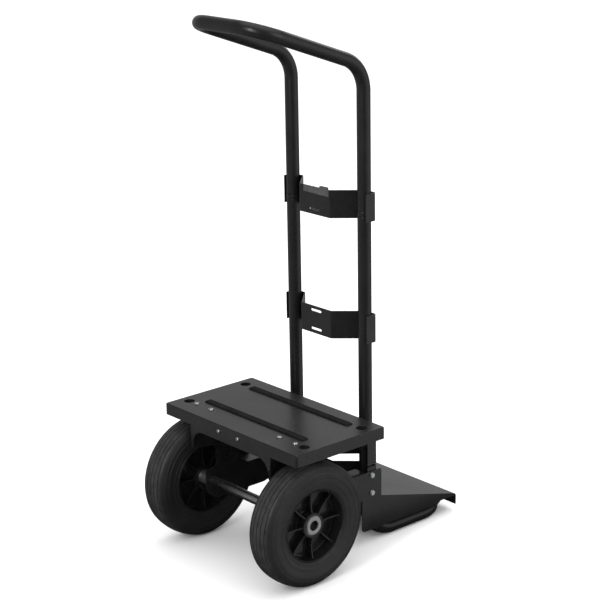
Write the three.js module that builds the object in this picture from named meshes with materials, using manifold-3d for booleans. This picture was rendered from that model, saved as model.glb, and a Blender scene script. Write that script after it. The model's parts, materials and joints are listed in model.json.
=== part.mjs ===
// Two-wheeled hand truck with a bent tube handle, a flat deck over the wheels
// and a sloping toe plate carried on a floor-level tube loop.
//
// Frame: X across (right side +X as seen by the person pushing), Y forward
// (towards the toe plate), Z up, floor at Z = 0, millimetres.
// The layout below is written with Y = 0 on the axis of the upright tubes and
// moved by SHIFT_Y at the end so the origin is the middle of the footprint.

import * as THREE from 'three';
import Module from 'manifold-3d';
import { mergeVertices } from 'three/addons/utils/BufferGeometryUtils.js';

const wasm = await Module();
wasm.setup();

// ------------------------------------------------------------ dimensions
const SHIFT_Y = 47.3;        // upright axis to middle of the overall depth
const GAP = 0.3;             // assembly gap between touching pieces

const TUBE_R = 13.75;        // outside radius of all frame tube
const BORE_R = 11.75;        // inside radius of the frame tube
const TUBE_X = 104.3;        // upright axes, each side of the middle
const FACETS = 16;           // facets round a tube, outside
const BORE_FACETS = 12;      // and inside

const BEND_Z = 923.9;        // where the uprights start to bend backwards
const BEND_R = 68.4;         // that bend, to the axis
const ARM_TILT = 19.8;       // arm direction above level, degrees
const ARM_L = 160.5;         // straight part of the arm
const GRIP_R = 63.1;         // corner between arm and hand grip

const JOINT_LO = 681.2;      // lower and upper face of the joint collar
const JOINT_HI = 690.8;
const COLLAR_R = 13.95;
const SPIGOT_R = 11.4;
const SPIGOT_REACH = 45;     // spigot length each way from the joint

const FOOT_BEND_R = 69;      // upright to foot, at the floor
const FOOT_CORNER_R = 70;    // foot to front bar
const FOOT_Y = 228.5;        // axis of the front bar

const SHEET = 2.2;           // bracket sheet
const WRAP_X = 118.6;        // inside of a bracket's outer flange
const WRAP_Y = 14.3;         // inside of a bracket's front strip
const DIAG_X = 91.5;         // start of the slanted part
const PANEL_X = 44.2;        // half width of the middle panel

const DECK_X = 202.4;
const DECK_REAR = -267.3;
const DECK_FRONT = -39.6;
const DECK_TOP = 284.7;
const DECK_EDGE = 24;        // depth of the turned-down edge
const DECK_T = 2;

const SIDE_IN = 120.5;       // inner and outer face of the side plates
const SIDE_OUT = 122.5;
const LEDGE_Z = 157;         // top of the side plates' low part

const SKIRT_IN = 118.35;     // inner and outer face of the toe plate's sides
const SKIRT_OUT = 120.2;
const TOE_BACK = [27, 97];   // top of the slope, (Y, Z)
const TOE_FRONT = [244.6, 38];

const WHEEL_R = 125;
const WHEEL_X = 166.1;       // middle of each wheel
const WHEEL_W = 65.7;
const AXLE_Y = -214.2;
const AXLE_Z = 125;
const AXLE_R = 10;
const BORE_FIT = 10.25;      // radius of what turns on or sits on the axle

const BOLT_Y = -0.3;         // side bolts, on the axis of each upright
const BOLT_LO = 110.5;
const BOLT_HI = 148.2;

// ------------------------------------------------------------ helpers
function toM(geo) {
  const g = new THREE.BufferGeometry();
  g.setAttribute('position', geo.getAttribute('position').clone());
  if (geo.index) g.setIndex(geo.index.clone());
  const m = mergeVertices(g, 1e-4);
  const pos = m.getAttribute('position');
  const idx = Array.from(m.index.array);
  let vol = 0;
  for (let i = 0; i < idx.length; i += 3) {
    const a = new THREE.Vector3().fromBufferAttribute(pos, idx[i]);
    const b = new THREE.Vector3().fromBufferAttribute(pos, idx[i + 1]);
    const c = new THREE.Vector3().fromBufferAttribute(pos, idx[i + 2]);
    vol += a.dot(b.cross(c));
  }
  const tri = new Uint32Array(idx.length);
  for (let i = 0; i < idx.length; i += 3) {
    tri[i] = idx[i];
    tri[i + 1] = vol < 0 ? idx[i + 2] : idx[i + 1];
    tri[i + 2] = vol < 0 ? idx[i + 1] : idx[i + 2];
  }
  return new wasm.Manifold(new wasm.Mesh({
    numProp: 3, vertProperties: new Float32Array(pos.array), triVerts: tri,
  }));
}

function fromM(man) {
  const mesh = man.getMesh();
  const g = new THREE.BufferGeometry();
  const n = mesh.numProp;
  const count = mesh.vertProperties.length / n;
  const p = new Float32Array(count * 3);
  for (let i = 0; i < count; i += 1) {
    p[3 * i] = mesh.vertProperties[n * i];
    p[3 * i + 1] = mesh.vertProperties[n * i + 1];
    p[3 * i + 2] = mesh.vertProperties[n * i + 2];
  }
  g.setAttribute('position', new THREE.BufferAttribute(p, 3));
  g.setIndex(new THREE.BufferAttribute(new Uint32Array(mesh.triVerts), 1));
  return g;
}

// Prism of a closed outline. 'z' extrudes an (x, y) outline from lo to hi,
// 'x' extrudes a (y, z) outline and 'y' an (x, z) outline.
function prism(axis, pts, lo, hi) {
  const shape = new THREE.Shape(pts.map(([a, b]) => new THREE.Vector2(a, b)));
  const g = new THREE.ExtrudeGeometry(shape, { depth: hi - lo, bevelEnabled: false, steps: 1 });
  g.translate(0, 0, lo);
  const m = new THREE.Matrix4();
  if (axis === 'x') m.makeBasis(new THREE.Vector3(0, 1, 0), new THREE.Vector3(0, 0, 1), new THREE.Vector3(1, 0, 0));
  if (axis === 'y') m.makeBasis(new THREE.Vector3(1, 0, 0), new THREE.Vector3(0, 0, 1), new THREE.Vector3(0, 1, 0));
  if (axis !== 'z') g.applyMatrix4(m);
  return toM(g);
}

function block(x0, x1, y0, y1, z0, z1) {
  const g = new THREE.BoxGeometry(x1 - x0, y1 - y0, z1 - z0);
  g.translate((x0 + x1) / 2, (y0 + y1) / 2, (z0 + z1) / 2);
  return toM(g);
}

// Round bar or drilling tool along one axis, centred at (u, v) across it.
function rod(axis, u, v, r, lo, hi, sides = 16, turn = 0) {
  const pts = [];
  for (let i = 0; i < sides; i += 1) {
    const a = (2 * Math.PI * i) / sides + turn;
    pts.push([u + r * Math.cos(a), v + r * Math.sin(a)]);
  }
  return prism(axis, pts, lo, hi);
}

// Solid of revolution about an axis along X through (y, z) from a closed
// [radius, x] outline.
function turned(outline, y, z, segs, turn = 0) {
  const n = outline.length;
  const pos = [];
  const idx = [];
  for (let i = 0; i < segs; i += 1) {
    const a = (2 * Math.PI * i) / segs + turn;
    for (const [r, x] of outline) pos.push(x, y + r * Math.cos(a), z + r * Math.sin(a));
  }
  for (let i = 0; i < segs; i += 1) {
    const i2 = (i + 1) % segs;
    for (let j = 0; j < n; j += 1) {
      const j2 = (j + 1) % n;
      idx.push(i * n + j, i * n + j2, i2 * n + j2, i * n + j, i2 * n + j2, i2 * n + j);
    }
  }
  const g = new THREE.BufferGeometry();
  g.setAttribute('position', new THREE.BufferAttribute(new Float32Array(pos), 3));
  g.setIndex(idx);
  return toM(g);
}

// Round section carried along a path of {p, t} stations.
function sweep(path, radius, sides, first) {
  const pos = [];
  const idx = [];
  let n = first.clone();
  path.forEach(({ p, t }) => {
    n = n.clone().addScaledVector(t, -n.dot(t)).normalize();
    const b = new THREE.Vector3().crossVectors(t, n);
    for (let i = 0; i < sides; i += 1) {
      const a = (2 * Math.PI * (i + 0.5)) / sides;
      const q = p.clone().addScaledVector(n, radius * Math.cos(a)).addScaledVector(b, radius * Math.sin(a));
      pos.push(q.x, q.y, q.z);
    }
  });
  const rings = path.length;
  for (let k = 0; k + 1 < rings; k += 1) {
    for (let i = 0; i < sides; i += 1) {
      const j = (i + 1) % sides;
      const a = k * sides;
      const b = (k + 1) * sides;
      idx.push(a + i, a + j, b + j, a + i, b + j, b + i);
    }
  }
  for (let i = 1; i + 1 < sides; i += 1) {
    idx.push(0, i + 1, i);
    const e = (rings - 1) * sides;
    idx.push(e, e + i, e + i + 1);
  }
  const g = new THREE.BufferGeometry();
  g.setAttribute('position', new THREE.BufferAttribute(new Float32Array(pos), 3));
  g.setIndex(idx);
  return toM(g);
}

// Tube: the outer sweep less an inner sweep that runs out of both ends.
function tube(path, outer, inner, sides, first) {
  const longer = path.slice();
  const s = path[0];
  const e = path[path.length - 1];
  longer[0] = { p: s.p.clone().addScaledVector(s.t, -3), t: s.t };
  longer[longer.length - 1] = { p: e.p.clone().addScaledVector(e.t, 3), t: e.t };
  return sweep(path, outer, sides, first).subtract(sweep(longer, inner, BORE_FACETS, first));
}

// Arc stations from a start point, start direction and the side it turns to.
function arc(path, p, t, towards, radius, angle, steps) {
  const c = p.clone().addScaledVector(towards, radius);
  for (let i = 1; i <= steps; i += 1) {
    const a = (angle * i) / steps;
    path.push({
      p: c.clone().addScaledVector(towards, -radius * Math.cos(a)).addScaledVector(t, radius * Math.sin(a)),
      t: t.clone().multiplyScalar(Math.cos(a)).addScaledVector(towards, Math.sin(a)),
    });
  }
  return path[path.length - 1];
}

const mirrorPath = (half) => {
  const other = half.slice().reverse().map(({ p, t }) => ({
    p: new THREE.Vector3(-p.x, p.y, p.z),
    t: new THREE.Vector3(t.x, -t.y, -t.z),
  }));
  return half.concat(other);
};

// Outline of a folded sheet: a centre line of [x, y] corners, offset half the
// thickness each way with the corners rounded.
function folded(line, t, radius, steps = 3) {
  const pts = [];
  for (let i = 0; i < line.length; i += 1) {
    const p = new THREE.Vector2(...line[i]);
    if (i === 0 || i === line.length - 1) {
      const q = new THREE.Vector2(...line[i === 0 ? 1 : i - 1]);
      const d = i === 0 ? q.sub(p).normalize() : p.clone().sub(q).normalize();
      pts.push({ p, d });
      continue;
    }
    const a = p.clone().sub(new THREE.Vector2(...line[i - 1])).normalize();
    const b = new THREE.Vector2(...line[i + 1]).sub(p).normalize();
    const turn = Math.atan2(a.x * b.y - a.y * b.x, a.dot(b));
    const cut = radius * Math.tan(Math.abs(turn) / 2);
    const s = p.clone().addScaledVector(a, -cut);
    const side = new THREE.Vector2(-a.y, a.x).multiplyScalar(Math.sign(turn));
    const c = s.clone().addScaledVector(side, radius);
    for (let k = 0; k <= steps; k += 1) {
      const w = (turn * k) / steps;
      const d = a.clone().rotateAround(new THREE.Vector2(), w);
      const r = side.clone().negate().rotateAround(new THREE.Vector2(), w);
      pts.push({ p: c.clone().addScaledVector(r, radius), d });
    }
  }
  const left = pts.map(({ p, d }) => [p.x - (d.y * t) / 2, p.y + (d.x * t) / 2]);
  const right = pts.map(({ p, d }) => [p.x + (d.y * t) / 2, p.y - (d.x * t) / 2]);
  return left.concat(right.reverse());
}

// Rounded outline of a polygon, radius per corner.
function rounded(corners, steps = 4) {
  const out = [];
  const n = corners.length;
  corners.forEach(([x, y, r = 0], i) => {
    if (!r) { out.push([x, y]); return; }
    const p = new THREE.Vector2(x, y);
    const u = new THREE.Vector2(corners[(i + n - 1) % n][0], corners[(i + n - 1) % n][1]).sub(p).normalize();
    const v = new THREE.Vector2(corners[(i + 1) % n][0], corners[(i + 1) % n][1]).sub(p).normalize();
    const half = Math.acos(Math.min(1, Math.max(-1, u.dot(v)))) / 2;
    const cut = r / Math.tan(half);
    const c = p.clone().addScaledVector(u.clone().add(v).normalize(), r / Math.sin(half));
    const s = p.clone().addScaledVector(u, cut).sub(c);
    const e = p.clone().addScaledVector(v, cut).sub(c);
    const turn = Math.atan2(s.x * e.y - s.y * e.x, s.dot(e));
    for (let k = 0; k <= steps; k += 1) {
      const q = s.clone().rotateAround(new THREE.Vector2(), (turn * k) / steps).add(c);
      out.push([q.x, q.y]);
    }
  });
  return out;
}

const V = (x, y, z) => new THREE.Vector3(x, y, z);
const root = new THREE.Group();
root.name = 'hand_truck';

const FINISH = {
  powder: { color: 0x1b1c1e, roughness: 0.42, metalness: 0.25 },
  zinc: { color: 0xb9bbbd, roughness: 0.32, metalness: 0.9 },
  steel: { color: 0x9a9da0, roughness: 0.28, metalness: 0.95 },
  rubber: { color: 0x151515, roughness: 0.85, metalness: 0 },
  rim: { color: 0x17181a, roughness: 0.25, metalness: 0 },
  plastic: { color: 0x101112, roughness: 0.5, metalness: 0 },
  strap: { color: 0x1d1d1f, roughness: 0.9, metalness: 0 },
};

function add(name, man, finish) {
  const g = fromM(man);
  g.translate(0, SHIFT_Y, 0);
  g.computeVertexNormals();
  const mesh = new THREE.Mesh(g, new THREE.MeshStandardMaterial({ ...FINISH[finish], flatShading: true }));
  mesh.name = name;
  root.add(mesh);
}

const sides = [['right', 1], ['left', -1]];
const flip = (man, s) => (s > 0 ? man : man.mirror([1, 0, 0]));

// ------------------------------------------------------------ tube frame
{
  // Upper bow: up one side, back along the arm, across the grip, mirrored.
  const half = [];
  half.push({ p: V(TUBE_X, 0, JOINT_HI + GAP), t: V(0, 0, 1) });
  half.push({ p: V(TUBE_X, 0, BEND_Z), t: V(0, 0, 1) });
  const bend = THREE.MathUtils.degToRad(90 - ARM_TILT);
  let last = arc(half, V(TUBE_X, 0, BEND_Z), V(0, 0, 1), V(0, -1, 0), BEND_R, bend, 5);
  const elbow = last.p.clone().addScaledVector(last.t, ARM_L);
  half.push({ p: elbow, t: last.t.clone() });
  last = arc(half, elbow, last.t.clone(), V(-1, 0, 0), GRIP_R, Math.PI / 2, 6);
  add('handle_bow', tube(mirrorPath(half), TUBE_R, BORE_R, FACETS, V(1, 0, 0)), 'powder');
}
{
  // Lower frame: down one upright, forward along the floor, across the front.
  const footZ = TUBE_R * Math.cos(Math.PI / FACETS);
  const half = [];
  half.push({ p: V(TUBE_X, 0, JOINT_LO - GAP), t: V(0, 0, -1) });
  const start = V(TUBE_X, 0, footZ + FOOT_BEND_R);
  half.push({ p: start, t: V(0, 0, -1) });
  arc(half, start, V(0, 0, -1), V(0, 1, 0), FOOT_BEND_R, Math.PI / 2, 6);
  const corner = V(TUBE_X, FOOT_Y - FOOT_CORNER_R, footZ);
  half.push({ p: corner, t: V(0, 1, 0) });
  arc(half, corner, V(0, 1, 0), V(-1, 0, 0), FOOT_CORNER_R, Math.PI / 2, 6);
  let frame = tube(mirrorPath(half), TUBE_R, BORE_R, FACETS, V(1, 0, 0));
  for (const z of [BOLT_LO, BOLT_HI]) {
    frame = frame.subtract(rod('x', BOLT_Y, z, 4.4, 108, 130, 12)).subtract(rod('x', BOLT_Y, z, 4.4, -130, -108, 12));
  }
  add('lower_frame', frame, 'powder');
}
for (const [side, s] of sides) {
  const ring = (ro, no, ri, ni, z0, z1) => rod('z', s * TUBE_X, 0, ro, z0, z1, no, Math.PI / no)
    .subtract(rod('z', s * TUBE_X, 0, ri, z0 - 1, z1 + 1, ni, Math.PI / ni));
  add(`${side}_joint_collar`, ring(COLLAR_R, FACETS, BORE_R, BORE_FACETS, JOINT_LO, JOINT_HI), 'powder');
  add(`${side}_joint_spigot`, ring(SPIGOT_R, BORE_FACETS, SPIGOT_R - 2, BORE_FACETS,
    (JOINT_LO + JOINT_HI) / 2 - SPIGOT_REACH, (JOINT_LO + JOINT_HI) / 2 + SPIGOT_REACH), 'steel');
}

// ------------------------------------------------------------ brackets
// Plan line of a bracket: outer flange, front strip, slanted part, middle.
function planLine(panelY, wrapBack) {
  const fx = WRAP_X + SHEET / 2;
  const fy = WRAP_Y + SHEET / 2;
  const half = [[fx, wrapBack], [fx, fy], [DIAG_X, fy], [PANEL_X - 0.6, panelY + SHEET / 2]];
  return half.concat(half.slice().reverse().map(([x, y]) => [-x, y]));
}
const slot = (z, r = 2.5) => prism('y', rounded([[-15.5, z - r, r], [15.5, z - r, r], [15.5, z + r, r], [-15.5, z + r, r]], 3), -45, -20);
{
  const plan = folded(planLine(-35.5, -10), SHEET, 4);
  for (const [name, z0, z1] of [['upper_bracket', 671, 727], ['lower_bracket', 426, 483]]) {
    const body = prism('z', plan, z0, z1).subtract(slot(z0 + 9.5)).subtract(slot(z1 - 9));
    add(name, body, 'powder');
  }
}
{
  // Bracket in front of the deck: its outer flanges stop lower than its
  // middle panel, which runs up inside the deck's front edge.
  const whole = prism('z', folded(planLine(-39.2, -10), SHEET, 4), 170, 281);
  const below = block(-112, 112, -45, 40, 160, 182);
  const aboveR = block(45, 130, -45, 40, 252, 300);
  const aboveL = block(-130, -45, -45, 40, 252, 300);
  let body = whole.subtract(below).subtract(aboveR).subtract(aboveL);
  for (const s of [1, -1]) body = body.subtract(rod('y', s * 30, 271, 3.3, -45, -30, 12));
  add('deck_bracket', body, 'powder');
}
{
  // Bracket behind the toe plate, held by the upper side bolts.
  const plan = folded(planLine(-35.5, -10).map(([x, y]) => [x > 119 ? 119.4 : x < -119 ? -119.4 : x, y]), 1.8, 4);
  let body = prism('z', plan, 95, 166);
  for (const s of [1, -1]) {
    body = body.subtract(block(s > 0 ? 110 : -130, s > 0 ? 130 : -110, -20, 40, 90, 128));
    body = body.subtract(rod('x', BOLT_Y, BOLT_HI, 4.4, s > 0 ? 105 : -135, s > 0 ? 135 : -105, 12));
  }
  add('axle_bracket', body, 'powder');
}

// ------------------------------------------------------------ toe plate
{
  const [yb, zb] = TOE_BACK;
  const [yf, zf] = TOE_FRONT;
  const t = 2.2;
  const slopeTop = [[yb, zb], [yf - 5, zf + 1.2], [yf - 1.5, zf - 0.6], [yf, zf - 4], [yf, 14],
    [yf - 2, 14], [yf - 2, zf - 4.6], [yf - 3.4, zf - 1.8], [yf - 6, zf - 0.9], [yb, zb - t - 0.1]];
  let body = prism('x', slopeTop, -SKIRT_OUT, SKIRT_OUT);
  const skirt = rounded([[-25, 29.4, 6], [192, 29.4], [199, 34.5], [yf - 3, 34.5], [yf - 3, zf],
    [yb, zb - 0.4], [23, zb + 2], [23, 122, 6], [-25, 122, 6]], 3);
  for (const s of [1, -1]) {
    body = body.add(prism('x', skirt, s > 0 ? SKIRT_IN : -SKIRT_OUT, s > 0 ? SKIRT_OUT : -SKIRT_IN));
    body = body.subtract(rod('x', BOLT_Y, BOLT_LO, 4.4, s > 0 ? 105 : -135, s > 0 ? 135 : -105, 12));
  }
  add('toe_plate', body, 'powder');
}

// ------------------------------------------------------------ side plates
for (const [side, s] of sides) {
  const outline = rounded([
    [-262.4, 208, 4], [-205, 200, 12], [-205, 157, 8], [-232, 149, 8], [-232, 104, 16], [-206, 85, 12], [-80, 85], [-25, 100], [26, 100, 3],
    [26, LEDGE_Z, 4], [-150, LEDGE_Z, 18], [-150, 279.8, 3], [-262.4, 279.8, 2]], 4);
  let body = prism('x', outline, SIDE_IN, SIDE_OUT);
  body = body.add(block(90, SIDE_OUT - 0.2, -148, -16, LEDGE_Z - 2, LEDGE_Z));
  body = body.subtract(rod('x', AXLE_Y, AXLE_Z, BORE_FIT, 100, 140, 24));
  for (const z of [BOLT_LO, BOLT_HI]) body = body.subtract(rod('x', BOLT_Y, z, 4.4, 100, 140, 12));
  add(`${side}_side_plate`, flip(body, s), 'powder');

  // Plate on top of the side plate that takes the two deck screws.
  let cleat = prism('z', rounded([[95, -245, 5], [161.5, -245, 5], [161.5, -205, 5], [95, -205, 5]], 3), 280.1, 282.3);
  for (const x of [105.3, 151.9]) cleat = cleat.subtract(rod('z', x, -225.8, 2.9, 270, 290, 12));
  add(`${side}_deck_cleat`, flip(cleat, s), 'powder');
}
{
  // Panel between the side plates, just inside the deck's rear edge.
  const w = SIDE_OUT + 0.2;
  const outline = rounded([
    [-w, 212, 1.5], [-116.5, 212, 1.5], [-116.5, 250, 29], [116.5, 250, 29], [116.5, 212, 1.5], [w, 212, 1.5], [w, 279.8], [-w, 279.8]], 4);
  let body = prism('y', outline, -264.9, -262.8);
  for (const s of [1, -1]) body = body.subtract(rod('y', s * 29.4, 270.4, 2.9, -270, -255, 12));
  add('rear_support_panel', body, 'powder');
}

// ------------------------------------------------------------ deck
{
  const tray = (inset, top, bottom, edge) => {
    const x = DECK_X - inset;
    const y0 = DECK_REAR + inset;
    const y1 = DECK_FRONT - inset;
    const ring = (d, z) => rounded([[-x + d, y0 + d, 5 - inset], [x - d, y0 + d, 5 - inset],
      [x - d, y1 - d, 5 - inset], [-x + d, y1 - d, 5 - inset]], 2).map(([a, b]) => [a, b, z]);
    const levels = [ring(0, bottom), ring(0, top - edge), ring(edge * 0.3, top - edge * 0.3), ring(edge, top)];
    const n = levels[0].length;
    const pos = levels.flat(2);
    const idx = [];
    for (let k = 0; k + 1 < levels.length; k += 1) {
      for (let i = 0; i < n; i += 1) {
        const j = (i + 1) % n;
        idx.push(k * n + i, k * n + j, (k + 1) * n + j, k * n + i, (k + 1) * n + j, (k + 1) * n + i);
      }
    }
    const e = (levels.length - 1) * n;
    for (let i = 1; i + 1 < n; i += 1) {
      idx.push(0, i + 1, i);
      idx.push(e, e + i, e + i + 1);
    }
    const g = new THREE.BufferGeometry();
    g.setAttribute('position', new THREE.BufferAttribute(new Float32Array(pos), 3));
    g.setIndex(idx);
    return toM(g);
  };
  let deck = tray(0, DECK_TOP, DECK_TOP - DECK_EDGE, 2.6)
    .subtract(tray(DECK_T, DECK_TOP - DECK_T, DECK_TOP - DECK_EDGE - 5, 0.6));
  for (const s of [1, -1]) {
    for (const y of [-225.3, -78.1]) {
      deck = deck.add(rod('z', s * 176.3, y, 12.6, DECK_TOP - 8, DECK_TOP - 1, 20));
      deck = deck.subtract(rod('z', s * 176.3, y, 11, 260, 300, 20));
    }
    for (const x of [105.3, 151.9]) deck = deck.subtract(rod('z', s * x, -225.8, 2.9, 270, 300, 12));
    deck = deck.subtract(rod('y', s * 29.4, 270.4, 2.9, -275, -255, 12));
    deck = deck.subtract(rod('y', s * 30, 271, 3.3, -50, -30, 12));
  }
  add('deck_plate', deck, 'powder');

  // Raised strips across the deck.
  for (const [name, y] of [['deck_rear_strip', -199], ['deck_front_strip', -84]]) {
    const g = new THREE.BoxGeometry(1, 1, 1);
    const base = toM(g).scale([300, 15, 3.2]).translate([0, y, DECK_TOP + GAP + 1.6]);
    // Chamfer the long edges and the ends.
    const roof = prism('x', [[y - 9, DECK_TOP - 1], [y - 7.6, DECK_TOP + GAP + 1], [y - 5.8, DECK_TOP + GAP + 3.2],
      [y + 5.8, DECK_TOP + GAP + 3.2], [y + 7.6, DECK_TOP + GAP + 1], [y + 9, DECK_TOP - 1]], -160, 160);
    const ends = prism('y', [[-152, DECK_TOP - 1], [-150.2, DECK_TOP + GAP + 0.6], [-146.5, DECK_TOP + GAP + 3.3],
      [146.5, DECK_TOP + GAP + 3.3], [150.2, DECK_TOP + GAP + 0.6], [152, DECK_TOP - 1]], y - 12, y + 12);
    add(name, base.intersect(roof).intersect(ends), 'rubber');
  }

  // Screws: pan head on a shank, joined as one turned bar.
  const screw = (axis, u, v, headFrom, headTo, shankTo, r, sr) => {
    const head = rod(axis, u, v, r, Math.min(headFrom, headTo), Math.max(headFrom, headTo), 12);
    const mid = (headFrom + headTo) / 2;
    const shank = rod(axis, u, v, sr, Math.min(mid, shankTo), Math.max(mid, shankTo), 12);
    return head.add(shank);
  };
  for (const [side, s] of sides) {
    for (const [name, x] of [['outer', 151.9], ['inner', 105.3]]) {
      add(`${side}_${name}_deck_screw`, screw('z', s * x, -225.8, DECK_TOP + GAP, DECK_TOP + 3.2, 272, 5.2, 2.5), 'zinc');
    }
    add(`${side}_rear_edge_screw`, screw('y', s * 29.4, 270.4, DECK_REAR - GAP, DECK_REAR - 3, -256, 4.6, 2.5), 'zinc');
    add(`${side}_front_edge_bolt`, screw('y', s * 30, 271, -36.7, -32.2, -52, 5.4, 2.9), 'zinc');
  }
}

// ------------------------------------------------------------ side bolts
// Each goes through the sheets and the tube's outer wall into a captive nut.
for (const [side, s] of sides) {
  for (const [name, z] of [['upper', BOLT_HI], ['lower', BOLT_LO]]) {
    const bolt = rod('x', BOLT_Y, z, 6, SIDE_OUT + GAP, SIDE_OUT + GAP + 3.4, 12)
      .add(rod('x', BOLT_Y, z, 3.9, 100, SIDE_OUT + 2, 12));
    add(`${side}_${name}_side_bolt`, flip(bolt, s), 'zinc');
    const nut = rod('x', BOLT_Y, z, 6.6, 102, 107, 6).subtract(rod('x', BOLT_Y, z, 4.25, 95, 110, 12));
    add(`${side}_${name}_side_nut`, flip(nut, s), 'zinc');
  }
}

// ------------------------------------------------------------ strap
{
  // Flat tie strap: a pass along the top of the rear face, a fold over the top
  // edge on one side and a slanted run down the front to below the panel.
  const rear = prism('y', rounded([[-31, 714.2, 2], [44, 713.4, 2], [44, 727.3], [-31, 727.3, 2]], 2), -37.6, -35.9);
  const fold = prism('x', rounded([[-37.6, 726, 0], [-37.6, 731.6, 2.6], [-31.2, 731.6, 2.6], [-31.2, 726, 0],
    [-32.8, 726, 0], [-32.8, 728.6, 0.8], [-35.9, 728.6, 0.8], [-35.9, 726, 0]], 3), 15, 39.5);
  const front = prism('y', [[15, 727.3], [-48, 666], [-20, 664], [39.5, 719], [39.5, 727.3]], -32.8, -31.2);
  add('tie_strap', rear.add(fold).add(front), 'strap');
  // Slide that holds the slanted run together on the front.
  const slide = (g0, g1, y0, y1) => prism('y', [[-26 - g0, 695], [26 + g0, 695], [26 + g1, 707], [-26 - g1, 707]], y0, y1);
  add('strap_slide', slide(0, 0, -30.9, -27.9).translate([-1, 0, -6]), 'plastic');
}

// ------------------------------------------------------------ axle, wheels
add('axle', rod('x', AXLE_Y, AXLE_Z, AXLE_R, -179, 179, 24)
  .subtract(rod('x', AXLE_Y, AXLE_Z, 6, 165, 190, 12))
  .subtract(rod('x', AXLE_Y, AXLE_Z, 6, -190, -165, 12)), 'steel');

for (const [side, s] of sides) {
  const at = (outline, segs, turn = 0) => flip(turned(outline, AXLE_Y, AXLE_Z, segs, turn), s);
  const ring = (ri, ro, x0, x1, segs = 24) => at([[ri, x0], [ri, x1], [ro, x1], [ro, x0]], segs);
  const c = WHEEL_X;
  const h = WHEEL_W / 2;

  add(`${side}_tyre`, at([
    [71.9, c - 27.4], [71.9, c + 27.4], [75.5, c + 30], [100, c + h], [114, c + 31.2],
    [WHEEL_R, c + 22], [WHEEL_R, c + 1.8], [123, c + 0.9],
    [123, c - 0.9], [WHEEL_R, c - 1.8], [WHEEL_R, c - 22],
    [114, c - 31.2], [100, c - h], [75.5, c - 30]], 40), 'rubber');

  let rim = turned([
    [19.6, c - 20.8], [19.6, c + 20.8], [25, c + 20.8], [26.5, c + 2.2], [65.5, c + 2.2], [67.5, c + 27.2], [71.5, c + 27.2],
    [71.5, c - 27.2], [67.5, c - 27.2], [65.5, c - 2.2], [26.5, c - 2.2], [25, c - 20.8]], AXLE_Y, AXLE_Z, 36);
  for (let k = 0; k < 8; k += 1) {
    const outer = prism('x', [[24, -1.6], [68.5, -1.6], [68.5, 1.6], [24, 1.6]], c + 1.5, c + 18);
    const inner = prism('x', [[24, -1.6], [68.5, -1.6], [68.5, 1.6], [24, 1.6]], c - 18, c - 1.5);
    for (const rib of [outer, inner]) rim = rim.add(rib.rotate([k * 45, 0, 0]).translate([0, AXLE_Y, AXLE_Z]));
  }
  add(`${side}_rim`, flip(rim, s), 'rim');

  // Steel liner through the hub with a bearing at each end.
  add(`${side}_hub_sleeve`, ring(15.8, 19.2, c - 20.8, c + 20.8), 'steel');
  add(`${side}_inner_bearing`, ring(BORE_FIT, 15.4, c - 20.8, c - 11), 'steel');
  add(`${side}_outer_bearing`, ring(BORE_FIT, 15.4, c + 11, c + 20.4), 'steel');
  // Spacer on the axle, inside, and the ring on the hub's outer end.
  add(`${side}_axle_spacer`, ring(BORE_FIT, 13.5, SIDE_OUT + GAP, c - 21.2), 'zinc');
  add(`${side}_hub_ring`, ring(BORE_FIT, 17.8, c + 21.1, c + 23.4), 'zinc');
}
for (const [side, s] of sides) {
  const c = WHEEL_X;
  const cap = rod('x', AXLE_Y, AXLE_Z, 9.9, 179.3, 181.3, 24).add(rod('x', AXLE_Y, AXLE_Z, 5.6, 170, 180, 12));
  add(`${side}_axle_plug`, flip(cap, s), 'plastic');
}

export default root;
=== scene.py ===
import json
import math

import bmesh
import bpy
from mathutils import Matrix, Vector


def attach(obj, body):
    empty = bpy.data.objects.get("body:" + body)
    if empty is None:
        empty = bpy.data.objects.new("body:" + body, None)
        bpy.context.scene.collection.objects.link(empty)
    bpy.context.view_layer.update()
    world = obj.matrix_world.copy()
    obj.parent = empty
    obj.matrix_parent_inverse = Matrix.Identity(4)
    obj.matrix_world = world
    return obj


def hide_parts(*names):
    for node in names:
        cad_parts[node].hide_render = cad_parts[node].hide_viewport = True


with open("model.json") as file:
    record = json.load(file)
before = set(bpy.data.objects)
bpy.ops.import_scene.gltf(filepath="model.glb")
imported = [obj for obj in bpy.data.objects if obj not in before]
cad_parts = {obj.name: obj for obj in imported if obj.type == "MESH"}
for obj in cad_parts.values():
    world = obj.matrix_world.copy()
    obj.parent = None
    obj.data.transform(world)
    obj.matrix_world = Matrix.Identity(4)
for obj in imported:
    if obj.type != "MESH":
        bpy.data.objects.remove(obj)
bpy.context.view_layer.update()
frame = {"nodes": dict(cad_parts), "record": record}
NODES = frame["nodes"]
scene = bpy.context.scene

# The layout is written in millimetres with Y = 0 on the upright tubes, as the
# solids are, and moved by SHIFT_Y into the shared frame.
SHIFT_Y = 47.3

TUBE_R = 13.48
TUBE_X = 104.3
BEND_Z, BEND_R, ARM_TILT, ARM_L, GRIP_R = 923.9, 68.4, 19.8, 160.5, 63.1
JOINT_LO, JOINT_HI = 681.2, 690.8
FOOT_BEND_R, FOOT_CORNER_R, FOOT_Y = 69.0, 70.0, 228.5
FOOT_Z = 13.75 * math.cos(math.pi / 16)
DECK_X, DECK_REAR, DECK_FRONT, DECK_TOP, DECK_EDGE = 202.4, -267.3, -39.6, 284.7, 24.0
SIDE_OUT = 122.5
WHEEL_R, WHEEL_X, WHEEL_W = 125.0, 166.1, 65.7
AXLE_Y, AXLE_Z = -214.2, 125.0


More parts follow.
